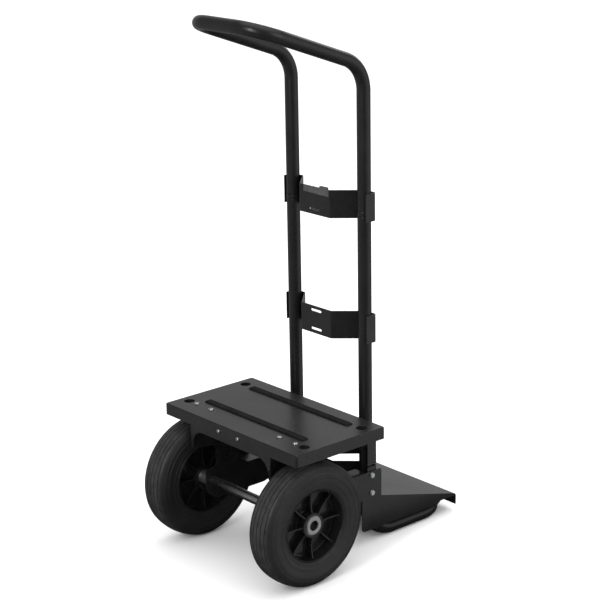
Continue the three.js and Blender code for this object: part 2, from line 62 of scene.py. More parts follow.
# ------------------------------------------------------------------ materials
class Nodes:
    """Small helper that writes node trees."""

    def __init__(self, name):
        self.mat = bpy.data.materials.new(name)
        self.mat.use_nodes = True
        self.t = self.mat.node_tree
        self.bsdf = self.t.nodes["Principled BSDF"]
        self.coord = self.t.nodes.new("ShaderNodeTexCoord")

    def new(self, kind, **inputs):
        n = self.t.nodes.new(kind)
        for k, v in inputs.items():
            setattr(n, k, v)
        return n

    def link(self, a, b):
        self.t.links.new(a, b)

    def mapped(self, scale=(1, 1, 1)):
        m = self.new("ShaderNodeMapping")
        m.inputs["Scale"].default_value = scale
        self.link(self.coord.outputs["Object"], m.inputs["Vector"])
        return m.outputs["Vector"]

    def noise(self, scale, detail=3.0, rough=0.55, stretch=(1, 1, 1)):
        n = self.new("ShaderNodeTexNoise")
        n.inputs["Scale"].default_value = scale
        n.inputs["Detail"].default_value = detail
        n.inputs["Roughness"].default_value = rough
        self.link(self.mapped(stretch), n.inputs["Vector"])
        return n.outputs["Fac"]

    def spread(self, value, lo, hi, a=0.3, b=0.7):
        n = self.new("ShaderNodeMapRange")
        n.inputs["From Min"].default_value = a
        n.inputs["From Max"].default_value = b
        n.inputs["To Min"].default_value = lo
        n.inputs["To Max"].default_value = hi
        self.link(value, n.inputs["Value"])
        return n.outputs["Result"]

    def maths(self, op, a, b=None):
        n = self.new("ShaderNodeMath", operation=op)
        for i, v in enumerate((a, b)):
            if v is None:
                continue
            if isinstance(v, (int, float)):
                n.inputs[i].default_value = v
            else:
                self.link(v, n.inputs[i])
        return n.outputs[0]

    def mix(self, fac, a, b):
        n = self.new("ShaderNodeMix", data_type="RGBA")
        for i, v in ((0, fac), (6, a), (7, b)):
            if isinstance(v, tuple):
                n.inputs[i].default_value = (*v, 1)
            elif isinstance(v, (int, float)):
                n.inputs[i].default_value = v
            else:
                self.link(v, n.inputs[i])
        return n.outputs[2]

    def edges(self, radius, lo=0.02, hi=0.25):
        """1 on edges and corners, 0 on flats."""
        bevel = self.new("ShaderNodeBevel", samples=4)
        bevel.inputs["Radius"].default_value = radius
        geo = self.new("ShaderNodeNewGeometry")
        dot = self.new("ShaderNodeVectorMath", operation="DOT_PRODUCT")
        self.link(bevel.outputs["Normal"], dot.inputs[0])
        self.link(geo.outputs["Normal"], dot.inputs[1])
        return self.spread(self.maths("SUBTRACT", 1.0, dot.outputs["Value"]), 0.0, 1.0, lo, hi)

    def bump(self, height, strength, distance, under=None):
        n = self.new("ShaderNodeBump")
        n.inputs["Strength"].default_value = strength
        n.inputs["Distance"].default_value = distance
        self.link(height, n.inputs["Height"])
        if under is not None:
            self.link(under, n.inputs["Normal"])
        return n.outputs["Normal"]

    def done(self, colour=None, rough=None, normal=None, metallic=0.0, **const):
        b = self.bsdf
        b.inputs["Metallic"].default_value = metallic
        for k, v in const.items():
            b.inputs[k.replace("_", " ")].default_value = v
        if colour is not None:
            self.link(colour, b.inputs["Base Color"])
        if rough is not None:
            self.link(rough, b.inputs["Roughness"])
        if normal is not None:
            self.link(normal, b.inputs["Normal"])
        return self.mat


def powder_coat():
    m = Nodes("powder_coat")
    peel = m.noise(620, 2.0, 0.5)
    speck = m.noise(2600, 1.0, 0.5)
    cloud = m.noise(7, 4.0, 0.6)
    wear = m.maths("MULTIPLY", m.edges(0.0011), m.spread(m.noise(55, 5.0, 0.7), 0.15, 1.0, 0.4, 0.62))
    dust = m.spread(m.noise(19, 6.0, 0.7), 0.0, 1.0, 0.42, 0.75)
    base = m.mix(dust, (0.0052, 0.0053, 0.0057), (0.0085, 0.0086, 0.0089))
    base = m.mix(m.maths("MULTIPLY", wear, 0.55), base, (0.06, 0.061, 0.063))
    rough = m.maths("ADD", m.spread(cloud, 0.22, 0.31), m.maths("MULTIPLY", speck, 0.05))
    rough = m.maths("SUBTRACT", rough, m.maths("MULTIPLY", wear, 0.04))
    n = m.bump(peel, 0.07, 0.0006)
    n = m.bump(speck, 0.06, 0.0002, n)
    return m.done(base, rough, n, Specular_IOR_Level=0.5)


def tyre_rubber():
    m = Nodes("tyre_rubber")
    sep = m.new("ShaderNodeSeparateXYZ")
    m.link(m.coord.outputs["Object"], sep.inputs[0])
    dy = m.maths("SUBTRACT", sep.outputs["Y"], (AXLE_Y + SHIFT_Y) / 1000)
    dz = m.maths("SUBTRACT", sep.outputs["Z"], AXLE_Z / 1000)
    r = m.maths("SQRT", m.maths("ADD", m.maths("MULTIPLY", dy, dy), m.maths("MULTIPLY", dz, dz)))
    tread = m.spread(r, 0.0, 1.0, 0.1185, 0.1238)
    scuff = m.maths("MULTIPLY", tread, m.spread(m.noise(60, 6.0, 0.7), 0.2, 1.0, 0.35, 0.65))
    bloom = m.spread(m.noise(14, 5.0, 0.65), 0.0, 1.0, 0.35, 0.7)
    base = m.mix(bloom, (0.007, 0.007, 0.0073), (0.0125, 0.0125, 0.0128))
    base = m.mix(m.maths("MULTIPLY", scuff, 0.6), base, (0.04, 0.04, 0.04))
    rough = m.spread(m.noise(90, 4.0, 0.6), 0.38, 0.52)
    fine = m.noise(1500, 3.0, 0.6)
    n = m.bump(fine, 0.3, 0.0004)
    n = m.bump(m.noise(260, 3.0, 0.6), 0.2, 0.0006, n)
    return m.done(base, rough, n, Specular_IOR_Level=0.42)


def rim_plastic():
    m = Nodes("rim_plastic")
    swirl = m.noise(24, 3.0, 0.6)
    base = m.mix(m.spread(m.noise(40, 4.0, 0.6), 0, 1), (0.004, 0.004, 0.0043), (0.007, 0.007, 0.0073))
    base = m.mix(m.maths("MULTIPLY", m.edges(0.0008), 0.35), base, (0.04, 0.04, 0.042))
    rough = m.spread(swirl, 0.15, 0.24)
    n = m.bump(m.noise(120, 2.0, 0.5), 0.12, 0.0008)
    n = m.bump(m.noise(1400, 2.0, 0.5), 0.05, 0.0002, n)
    return m.done(base, rough, n, Specular_IOR_Level=0.4)


def zinc_plate():
    m = Nodes("zinc_plate")
    tone = m.mix(m.spread(m.noise(160, 5.0, 0.7), 0, 1), (0.52, 0.54, 0.56), (0.72, 0.73, 0.74))
    tone = m.mix(m.spread(m.noise(45, 4.0, 0.6), 0, 0.35, 0.5, 0.75), tone, (0.5, 0.46, 0.38))
    rough = m.spread(m.noise(500, 4.0, 0.6), 0.2, 0.38)
    n = m.bump(m.noise(2200, 2.0, 0.5), 0.25, 0.0002)
    return m.done(tone, rough, n, metallic=1.0)


def dull_plate():
    """Brushed, greyed plating on the hub rings."""
    m = Nodes("dull_plate")
    tone = m.mix(m.spread(m.noise(160, 5.0, 0.7), 0, 1), (0.4, 0.4, 0.405), (0.56, 0.56, 0.565))
    rough = m.spread(m.noise(500, 4.0, 0.6), 0.38, 0.55)
    n = m.bump(m.noise(2200, 2.0, 0.5), 0.25, 0.0002)
    return m.done(tone, rough, n, metallic=1.0)


def bright_steel():
    m = Nodes("bright_steel")
    lines = m.noise(420, 3.0, 0.6, stretch=(0.04, 1, 1))
    tone = m.mix(m.spread(m.noise(30, 5.0, 0.7), 0, 1), (0.4, 0.405, 0.41), (0.56, 0.565, 0.57))
    tone = m.mix(m.spread(m.noise(70, 6.0, 0.75), 0, 0.6, 0.58, 0.76), tone, (0.2, 0.17, 0.14))
    rough = m.spread(lines, 0.2, 0.36)
    n = m.bump(lines, 0.35, 0.0003)
    return m.done(tone, rough, n, metallic=1.0)


def strip_rubber():
    m = Nodes("strip_rubber")
    base = m.mix(m.spread(m.noise(30, 5.0, 0.7), 0, 1), (0.006, 0.006, 0.0063), (0.011, 0.011, 0.0115))
    base = m.mix(m.maths("MULTIPLY", m.edges(0.0008), 0.4), base, (0.035, 0.035, 0.036))
    grain = m.noise(1700, 3.0, 0.6)
    rough = m.spread(m.noise(80, 4.0, 0.6), 0.8, 0.95)
    n = m.bump(grain, 0.35, 0.0004)
    return m.done(base, rough, n, Specular_IOR_Level=0.08)


def webbing():
    m = Nodes("webbing")
    sep = m.new("ShaderNodeSeparateXYZ")
    m.link(m.coord.outputs["Object"], sep.inputs[0])
    a = m.maths("SINE", m.maths("MULTIPLY", m.maths("ADD", sep.outputs["X"], sep.outputs["Z"]), 2 * math.pi / 0.0016))
    b = m.maths("SINE", m.maths("MULTIPLY", m.maths("SUBTRACT", sep.outputs["X"], sep.outputs["Z"]), 2 * math.pi / 0.0016))
    weave = m.maths("MULTIPLY", a, b)
    weave = m.spread(weave, 0.0, 1.0, -1.0, 1.0)
    fuzz = m.noise(2400, 4.0, 0.7)
    base = m.mix(weave, (0.008, 0.008, 0.009), (0.022, 0.022, 0.024))
    base = m.mix(m.spread(m.noise(60, 5, 0.7), 0, 0.5), base, (0.03, 0.03, 0.031))
    rough = m.spread(fuzz, 0.72, 0.92)
    n = m.bump(weave, 0.7, 0.0006)
    n = m.bump(fuzz, 0.4, 0.0003, n)
    return m.done(base, rough, n, Sheen_Weight=0.25, Specular_IOR_Level=0.3)


def black_plastic():
    m = Nodes("black_plastic")
    base = m.mix(m.spread(m.noise(50, 4, 0.6), 0, 1), (0.005, 0.005, 0.0053), (0.009, 0.009, 0.0092))
    rough = m.spread(m.noise(300, 4, 0.6), 0.45, 0.6)
    n = m.bump(m.noise(1900, 3, 0.6), 0.4, 0.0003)
    return m.done(base, rough, n, Specular_IOR_Level=0.2)


MAT = {
    "powder_coat": powder_coat(),
    "tyre_rubber": tyre_rubber(),
    "rim_plastic": rim_plastic(),
    "zinc": zinc_plate(),
    "dull_plate": dull_plate(),
    "bright_steel": bright_steel(),
    "strip_rubber": strip_rubber(),
    "webbing": webbing(),
    "black_plastic": black_plastic(),
}
SLOT_OF = {s["node"]: s["material_slot"] for s in frame["record"]["subparts"]}


# ------------------------------------------------------------------ mesh tools
def mesh_of(name, verts, faces):
    me = bpy.data.meshes.new(name)
    me.from_pydata([(x / 1000, (y + SHIFT_Y) / 1000, z / 1000) for x, y, z in verts], [], faces)
    me.validate()
    bm = bmesh.new()
    bm.from_mesh(me)
    bmesh.ops.remove_doubles(bm, verts=bm.verts, dist=1e-6)
    bmesh.ops.recalc_face_normals(bm, faces=bm.faces)
    bm.to_mesh(me)
    bm.free()
    ob = bpy.data.objects.new(name, me)
    scene.collection.objects.link(ob)
    return ob


def apply_modifiers(ob):
    dg = bpy.context.evaluated_depsgraph_get()
    me = bpy.data.meshes.new_from_object(ob.evaluated_get(dg))
    ob.modifiers.clear()
    old = ob.data
    ob.data = me
    bpy.data.meshes.remove(old)
    return ob


def boolean(ob, cutters, op="DIFFERENCE"):
    for c in cutters:
        mod = ob.modifiers.new("b", "BOOLEAN")
        mod.operation = op
        mod.solver = "EXACT"
        mod.object = c
    apply_modifiers(ob)
    for c in cutters:
        me = c.data
        bpy.data.objects.remove(c)
        bpy.data.meshes.remove(me)
    return ob


def tidy(ob, angle=1.0):
    bm = bmesh.new()
    bm.from_mesh(ob.data)
    bmesh.ops.remove_doubles(bm, verts=bm.verts, dist=2e-6)
    bmesh.ops.dissolve_limit(bm, angle_limit=math.radians(angle), verts=bm.verts, edges=bm.edges)
    bm.to_mesh(ob.data)
    bm.free()
    return ob


def bevel(ob, width, segments=2, angle=40):
    mod = ob.modifiers.new("bevel", "BEVEL")
    mod.width = width / 1000
    mod.segments = segments
    mod.limit_method = "ANGLE"
    mod.angle_limit = math.radians(angle)
    mod.use_clamp_overlap = True
    return apply_modifiers(ob)


def finish_piece(ob, body, slot, nodes, smooth=35, look=None):
    ob.data.shade_smooth()
    ob.data.set_sharp_from_angle(angle=math.radians(smooth))
    # Flats keep their own normal, so that they shade flat up to the folds.
    weighted = ob.modifiers.new("weighted", "WEIGHTED_NORMAL")
    weighted.keep_sharp = True
    apply_modifiers(ob)
    ob.data.materials.clear()
    ob.data.materials.append(MAT[look or slot])
    for p in ob.data.polygons:
        p.material_index = 0
    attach(ob, body)
    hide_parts(*nodes)
    return ob


def body_of_node(node):
    for s in ("left", "right"):
        if node in (f"{s}_tyre", f"{s}_rim", f"{s}_hub_sleeve", f"{s}_inner_bearing", f"{s}_outer_bearing"):
            return f"{s}_wheel"
    return "frame"


def refine(node, width=0.4, segments=2, smooth=35, angle=40, cut=()):
    """The CAD solid with its facets joined, its edges broken and its curves smoothed."""
    src = NODES[node].data
    me = bpy.data.meshes.new(node + "_skin")
    me.from_pydata([v.co[:] for v in src.vertices], [], [p.vertices[:] for p in src.polygons])
    ob = bpy.data.objects.new(node + "_skin", me)
    scene.collection.objects.link(ob)
    tidy(ob, 0.6)
    if cut:
        boolean(ob, list(cut))
        tidy(ob, 0.6)
    if width:
        bevel(ob, width, segments, angle)
    return finish_piece(ob, body_of_node(node), SLOT_OF[node], [node], smooth)


def turned(name, outline, y, z, segs):
    """Solid of revolution about an axis along X, from a closed [radius, x] outline."""
    verts, faces = [], []
    n = len(outline)
    for i in range(segs):
        a = 2 * math.pi * i / segs
        for r, x in outline:
            verts.append((x, y + r * math.cos(a), z + r * math.sin(a)))
    for i in range(segs):
        k = (i + 1) % segs
        for j in range(n):
            m = (j + 1) % n
            faces.append((i * n + j, i * n + m, k * n + m, k * n + j))
    return mesh_of(name, verts, faces)


def lathe_solid(name, outline, axis, u, v, segs):
    """Solid of revolution that closes on its axis: outline runs from the axis to the axis as [radius, along]."""
    verts, faces, rings = [], [], []

    def place(r, a, h):
        c, s = r * math.cos(a), r * math.sin(a)
        return {"x": (h, u + c, v + s), "y": (u + c, h, v + s), "z": (u + c, v + s, h)}[axis]

    for r, h in outline:
        if r == 0:
            rings.append([len(verts)])
            verts.append(place(0, 0, h))
        else:
            rings.append([len(verts) + i for i in range(segs)])
            verts += [place(r, 2 * math.pi * i / segs, h) for i in range(segs)]
    for a, b in zip(rings, rings[1:]):
        for i in range(segs):
            k = (i + 1) % segs
            if len(a) == 1:
                faces.append((a[0], b[i], b[k]))
            elif len(b) == 1:
                faces.append((a[i], a[k], b[0]))
            else:
                faces.append((a[i], a[k], b[k], b[i]))
    return mesh_of(name, verts, faces)


def prism(name, axis, pts, lo, hi):
    n = len(pts)

    def place(p, h):
        return {"x": (h, p[0], p[1]), "y": (p[0], h, p[1]), "z": (p[0], p[1], h)}[axis]

    verts = [place(p, lo) for p in pts] + [place(p, hi) for p in pts]
    faces = [tuple(range(n)), tuple(range(2 * n - 1, n - 1, -1))]
    faces += [(i, (i + 1) % n, n + (i + 1) % n, n + i) for i in range(n)]
    return mesh_of(name, verts, faces)


def disc(u, v, r, sides, turn=0.0):
    return [(u + r * math.cos(2 * math.pi * i / sides + turn), v + r * math.sin(2 * math.pi * i / sides + turn)) for i in range(sides)]


def rounded(corners, steps=8):
    out = []
    n = len(corners)
    for i, c in enumerate(corners):
        x, y, r = (*c, 0)[:3]
        if not r:
            out.append((x, y))
            continue
        p = Vector((x, y))
        u = (Vector(corners[i - 1][:2]) - p).normalized()
        v = (Vector(corners[(i + 1) % n][:2]) - p).normalized()
        half = math.acos(max(-1, min(1, u.dot(v)))) / 2
        centre = p + (u + v).normalized() * (r / math.sin(half))
        s = p + u * (r / math.tan(half)) - centre
        e = p + v * (r / math.tan(half)) - centre
        turn = math.atan2(s.x * e.y - s.y * e.x, s.dot(e))
        for k in range(steps + 1):
            a = turn * k / steps
            out.append((centre.x + s.x * math.cos(a) - s.y * math.sin(a), centre.y + s.x * math.sin(a) + s.y * math.cos(a)))
    return out


def sweep(name, path, sides, first):
    """Round section along (point, direction, radius) stations, closed at both ends."""
    verts, faces = [], []
    n = Vector(first)
    for p, t, r in path:
        n = (n - t * n.dot(t)).normalized()
        b = t.cross(n)
        for i in range(sides):
            a = 2 * math.pi * i / sides
            q = p + n * (r * math.cos(a)) + b * (r * math.sin(a))
            verts.append(tuple(q))
    for k in range(len(path) - 1):
        for i in range(sides):
            j = (i + 1) % sides
            faces.append((k * sides + i, k * sides + j, (k + 1) * sides + j, (k + 1) * sides + i))
    faces.append(tuple(range(sides)))
    e = (len(path) - 1) * sides
    faces.append(tuple(range(e + sides - 1, e - 1, -1)))
    return mesh_of(name, verts, faces)


def arc(path, p, t, towards, radius, angle, steps, r):
    c = p + towards * radius
    for i in range(1, steps + 1):
        a = angle * i / steps
        path.append((c - towards * (radius * math.cos(a)) + t * (radius * math.sin(a)), (t * math.cos(a) + towards * math.sin(a)).normalized(), r))
    return path[-1]


def mirrored(half):
    other = [(Vector((-p.x, p.y, p.z)), Vector((t.x, -t.y, -t.z)), r) for p, t, r in reversed(half)]
    return half + other


def strip(name, stations, thick, body, slot, nodes, rows=6):
    """A flat strap: stations are (middle, across direction, face direction, half width)."""
    verts, faces = [], []
    ring = None
    for c, w, n, h in stations:
        c, w, n = Vector(c), Vector(w).normalized(), Vector(n).normalized()
        sec = []
        for i in range(rows + 1):
            f = -1 + 2 * i / rows
            edge = 0.35 if abs(f) > 0.999 else 1.0
            sec.append((f * h, thick / 2 * edge))
        pts = [c + w * a + n * b for a, b in sec] + [c + w * a - n * b for a, b in reversed(sec)]
        ring = len(pts)
        verts += [tuple(p) for p in pts]
    for k in range(len(stations) - 1):
        for i in range(ring):
            j = (i + 1) % ring
            faces.append((k * ring + i, k * ring + j, (k + 1) * ring + j, (k + 1) * ring + i))
    faces.append(tuple(range(ring)))
    e = (len(stations) - 1) * ring
    faces.append(tuple(range(e + ring - 1, e - 1, -1)))
    return mesh_of(name, verts, faces)


# ------------------------------------------------------------------ tube frame
X, Y, Z = Vector((1, 0, 0)), Vector((0, 1, 0)), Vector((0, 0, 1))

half = []
start = JOINT_HI + 0.3
for dz, r in ((0.0, TUBE_R - 0.9), (0.35, TUBE_R - 0.35), (0.9, TUBE_R), (6.0, TUBE_R)):
    half.append((Vector((TUBE_X, 0, start + dz)), Z.copy(), r))
half.append((Vector((TUBE_X, 0, BEND_Z)), Z.copy(), TUBE_R))
last = arc(half, Vector((TUBE_X, 0, BEND_Z)), Z, -Y, BEND_R, math.radians(90 - ARM_TILT), 22, TUBE_R)
elbow = last[0] + last[1] * ARM_L
direction = last[1].copy()
half.append((elbow, direction, TUBE_R))
arc(half, elbow, direction, -X, GRIP_R, math.pi / 2, 26, TUBE_R)
finish_piece(sweep("handle_bow_skin", mirrored(half), 48, X), "frame", "powder_coat", ["handle_bow"], 40)

half = []
start = JOINT_LO - 0.3
for dz, r in ((0.0, TUBE_R - 0.9), (-0.3, TUBE_R - 0.1), (-0.9, TUBE_R + 0.22), (-2.4, TUBE_R + 0.22), (-4.2, TUBE_R), (-9.0, TUBE_R)):
    half.append((Vector((TUBE_X, 0, start + dz)), -Z, r))
top = Vector((TUBE_X, 0, FOOT_Z + FOOT_BEND_R))
half.append((top, -Z, TUBE_R))
arc(half, top, -Z, Y, FOOT_BEND_R, math.pi / 2, 22, TUBE_R)
corner = Vector((TUBE_X, FOOT_Y - FOOT_CORNER_R, FOOT_Z))
half.append((corner, Y.copy(), TUBE_R))
arc(half, corner, Y, -X, FOOT_CORNER_R, math.pi / 2, 24, TUBE_R)
finish_piece(sweep("lower_frame_skin", mirrored(half), 48, X), "frame", "powder_coat", ["lower_frame"], 40)

for side, s in (("right", 1), ("left", -1)):
    ro, ri = 13.9, 11.8
    prof = [(ri, JOINT_LO), (ro - 1.3, JOINT_LO), (ro - 0.5, JOINT_LO + 0.25), (ro - 0.1, JOINT_LO + 0.9), (ro, JOINT_LO + 1.6),
            (ro, JOINT_HI - 1.6), (ro - 0.1, JOINT_HI - 0.9), (ro - 0.5, JOINT_HI - 0.25), (ro - 1.3, JOINT_HI), (ri, JOINT_HI)]
    verts, faces = [], []
    segs, n = 48, len(prof)
    for i in range(segs):
        a = 2 * math.pi * i / segs
        verts += [(s * TUBE_X + r * math.cos(a), r * math.sin(a), h) for r, h in prof]
    for i in range(segs):
        k = (i + 1) % segs
        for j in range(n):
            m = (j + 1) % n
            faces.append((i * n + j, i * n + m, k * n + m, k * n + j))
    finish_piece(mesh_of(f"{side}_joint_collar_skin", verts, faces), "frame", "powder_coat", [f"{side}_joint_collar"], 40)

# ------------------------------------------------------------------ sheet metal
for node, width in (("upper_bracket", 0.45), ("lower_bracket", 0.45), ("deck_bracket", 0.45), ("axle_bracket", 0.4),
                    ("toe_plate", 0.5), ("right_side_plate", 0.4), ("left_side_plate", 0.4),
                    ("right_deck_cleat", 0.4), ("left_deck_cleat", 0.4), ("rear_support_panel", 0.4)):
    refine(node, width)

# Deck: a tray turned down on four sides, with rounded bends and corners.
def tray(name, inset, top, bottom, bend):
    x, y0, y1 = DECK_X - inset, DECK_REAR + inset, DECK_FRONT - inset
    cr = 5 - inset
    levels = []

    def ring(d, z):
        pts = rounded([(-x + d, y0 + d, cr), (x - d, y0 + d, cr), (x - d, y1 - d, cr), (-x + d, y1 - d, cr)], 10)
        return [(a, b, z) for a, b in pts]

    levels.append(ring(0, bottom))
    for k in range(11):
        a = math.pi / 2 * k / 10
        levels.append(ring(bend * (1 - math.cos(a)), top - bend * (1 - math.sin(a))))
    n = len(levels[0])
    verts = [p for l in levels for p in l]
    faces = []
    for k in range(len(levels) - 1):
        for i in range(n):
            j = (i + 1) % n
            faces.append((k * n + i, k * n + j, (k + 1) * n + j, (k + 1) * n + i))
    faces.append(tuple(range(n)))
    e = (len(levels) - 1) * n
    faces.append(tuple(range(e + n - 1, e - 1, -1)))
    return mesh_of(name, verts, faces)


deck = tray("deck_plate_skin", 0, DECK_TOP, DECK_TOP - DECK_EDGE, 2.5)
boolean(deck, [tray("c", 2, DECK_TOP - 2, DECK_TOP - DECK_EDGE - 5, 0.6)])
collars = []
cutters = []
for s in (1, -1):
    for y in (-225.3, -78.1):
        collars.append(prism("c", "z", disc(s * 176.3, y, 12.6, 48), DECK_TOP - 8, DECK_TOP - 1))
        cutters.append(prism("c", "z", disc(s * 176.3, y, 11, 48), 260, 300))
    for x in (105.3, 151.9):
        cutters.append(prism("c", "z", disc(s * x, -225.8, 2.9, 20), 270, 300))
    cutters.append(prism("c", "y", disc(s * 29.4, 270.4, 2.9, 20), -275, -255))
    cutters.append(prism("c", "y", disc(s * 30, 271, 3.3, 20), -50, -30))
boolean(deck, collars, "UNION")
boolean(deck, cutters)
tidy(deck, 0.3)
bevel(deck, 0.35, 2, 50)
finish_piece(deck, "frame", "powder_coat", ["deck_plate"], 32)

for node in ("deck_rear_strip", "deck_front_strip"):
    refine(node, 0.6, 3, 30, 20)


# ------------------------------------------------------------------ fasteners
def pan_screw(name, axis, u, v, base, tip, r, height, node, sign):
    """Pan head with a cross recess; sign is the way the head faces along its axis."""
    prof = [(0, tip), (2.5, tip), (2.5, base), (r - 0.3, base), (r, base + sign * 0.35)]
    for k in range(1, 9):
        a = math.pi / 2 * k / 8
        prof.append((r * (1 - 0.62 * (1 - math.cos(a))), base + sign * (0.35 + (height - 0.35) * math.sin(a))))
    prof.append((0, base + sign * height))
    ob = lathe_solid(name, prof, axis, u, v, 36)
    lo, hi = sorted((base + sign * (height - 1.3), base + sign * (height + 2)))
    arms = []
    for a in (0, 1):
        h, w = (2.6, 0.55) if a == 0 else (0.55, 2.6)
        arms.append(prism("c", axis, [(u - h, v - w), (u + h, v - w), (u + h, v + w), (u - h, v + w)], lo, hi))
    boolean(ob, arms)
    finish_piece(ob, "frame", "zinc", [node], 35)


def hex_bolt(name, axis, u, v, base, tip, across, height, washer_r, shank, node, sign):
    """Flanged hex head on a shank."""
    prof = [(0, tip), (shank, tip), (shank, base), (washer_r - 0.3, base), (washer_r, base + sign * 0.4), (washer_r - 0.2, base + sign * 0.8),
            (across / 2 - 0.4, base + sign * 1.2), (across / 2 - 0.6, base + sign * (height - 0.4)), (0, base + sign * (height - 0.4))]
    ob = lathe_solid(name, prof, axis, u, v, 36)
    lo, hi = sorted((base + sign * 0.8, base + sign * height))
    head = prism("c", axis, disc(u, v, across / 2 / math.cos(math.pi / 6), 6, math.pi / 6), lo, hi)
    # Round the hexagon's outer corners where the top is chamfered.
    cone = lathe_solid("c", [(0, base - sign * 2), (across, base - sign * 2), (across, base + sign * (height - 1.6)),
                             (across / 2 - 0.4, base + sign * height), (0, base + sign * height)], axis, u, v, 48)
    boolean(head, [cone], "INTERSECT")
    boolean(ob, [head], "UNION")
    finish_piece(ob, "frame", "zinc", [node], 30)


for side, s in (("right", 1), ("left", -1)):
    for which, x in (("outer", 151.9), ("inner", 105.3)):
        pan_screw(f"{side}_{which}_deck_screw_head", "z", s * x, -225.8, DECK_TOP + 0.1, 272, 5.2, 3.0, f"{side}_{which}_deck_screw", 1)
    pan_screw(f"{side}_rear_edge_screw_head", "y", s * 29.4, 270.4, DECK_REAR - 0.1, -256, 4.6, 2.8, f"{side}_rear_edge_screw", -1)
    hex_bolt(f"{side}_front_edge_bolt_head", "y", s * 30, 271, -36.8, -52, 8.6, 4.4, 5.3, 2.9, f"{side}_front_edge_bolt", 1)
    for which, z in (("upper", 148.2), ("lower", 110.5)):
        hex_bolt(f"{side}_{which}_side_bolt_head", "x", -0.3, z, s * (SIDE_OUT + 0.2), s * 101, 9.4, 3.5, 5.8, 3.9, f"{side}_{which}_side_bolt", s)

# ------------------------------------------------------------------ tie strap
def smooth_path(points, steps):
    """Catmull-Rom through (position, across, face, half width) stations."""
    out = []
    for i in range(len(points) - 1):
        p = [points[max(0, i - 1)], points[i], points[i + 1], points[min(len(points) - 1, i + 2)]]
        for k in range(steps):
            t = k / steps
            row = []
            for q in range(3):
                a, b, c, d = (Vector(x[q]) for x in p)
                row.append(0.5 * ((2 * b) + (c - a) * t + (2 * a - 5 * b + 4 * c - d) * t * t + (3 * b - 3 * c + d - a) * t * t * t))
            row.append(p[1][3] + (p[2][3] - p[1][3]) * t)
            out.append(tuple(row))
    out.append(points[-1])
    return out


rear_pass = smooth_path([((-30, -36.9, 720.6), (0, 0, 1), (0, -1, 0), 6.2), ((-14, -36.9, 720.9), (0, 0, 1), (0, -1, 0), 6.4),
                         ((4, -36.8, 720.2), (0, 0, 1), (0, -1, 0), 6.2), ((24, -36.9, 720.0), (0, 0, 1), (0, -1, 0), 6.4),
                         ((43, -36.8, 719.6), (0, 0, 1), (0, -1, 0), 6.0)], 6)
over_top = smooth_path([((30, -36.9, 716), (1, 0, -0.06), (0, -1, 0), 11.5), ((28.5, -37.0, 724), (1, 0, -0.05), (0, -1, 0), 11.8),
                        ((28, -36.6, 729.4), (1, 0, 0), (0, -0.8, 0.6), 12), ((27.6, -34.6, 730.8), (1, 0, 0), (0, 0, 1), 12),
                        ((27, -32.6, 729.4), (1, 0, 0.05), (0, 0.8, 0.6), 12), ((24, -32.0, 722), (1, 0, 0.3), (0, 1, 0), 12),
                        ((10, -32.0, 706), (0.9, 0, -0.4), (0, 1, 0), 11), ((1, -32.0, 692), (1, 0, -0.1), (0, 1, 0), 13),
                        ((-2, -32.1, 675.6), (1, 0, 0), (0, 1, 0), 15.5)], 6)
a = strip("strap_rear", rear_pass, 1.3, "frame", "webbing", [])
b = strip("strap_over", over_top, 1.3, "frame", "webbing", [])
a.data.materials.append(MAT["webbing"])
bm = bmesh.new()
bm.from_mesh(a.data)
bm.from_mesh(b.data)
bm.to_mesh(a.data)
bm.free()
old = b.data
bpy.data.objects.remove(b)
bpy.data.meshes.remove(old)
a.name = "tie_strap_skin"
finish_piece(a, "frame", "webbing", ["tie_strap"], 50)
refine("strap_slide", 0.7, 3, 30, 30)

# ------------------------------------------------------------------ wheels
def rim_outline(c):
    """Closed [radius, x] outline of the moulded rim."""
    h = [(19.6, 20.8), (24.0, 20.8), (24.8, 20.0), (25.4, 6.0), (26.8, 2.9), (29.5, 2.0), (64.0, 2.0), (66.6, 2.9),
         (68.0, 6.0), (68.6, 14.0), (69.2, 24.0), (69.6, 26.5), (70.0, 27.0), (70.8, 27.1), (71.4, 26.2)]
    return [(r, c + x) for r, x in h] + [(r, c - x) for r, x in reversed(h)]


def tyre_outline(c):
    """Closed outline of the tyre, with sidewall rings and tread grooves."""
    side = [(71.9, 26.2), (72.3, 27.5), (73.8, 28.7), (76.0, 29.5), (76.6, 30.4), (78.0, 30.6), (78.6, 29.9),
            (86.0, 31.2), (86.6, 32.0), (88.2, 32.1), (88.8, 31.5), (98.6, 32.3), (99.2, 32.9), (103.2, 32.9), (103.8, 32.2),
            (108.6, 31.3), (109.2, 31.9), (111.2, 31.5), (111.8, 30.5), (115.4, 28.9), (118.6, 26.6), (121.2, 23.8), (122.7, 21.4),
            (122.5, 20.9), (120.6, 20.6), (120.4, 19.4), (122.9, 19.1), (123.3, 18.7), (124.1, 14.5), (124.4, 11.2),
            (124.1, 10.8), (121.9, 10.6), (121.9, 9.4), (124.3, 9.2), (124.6, 8.8), (124.9, 4.8), (125.0, 1.3),
            (124.7, 0.9), (122.4, 0.7)]
    return [(r, c + x) for r, x in side] + [(r, c - x) for r, x in reversed(side)]


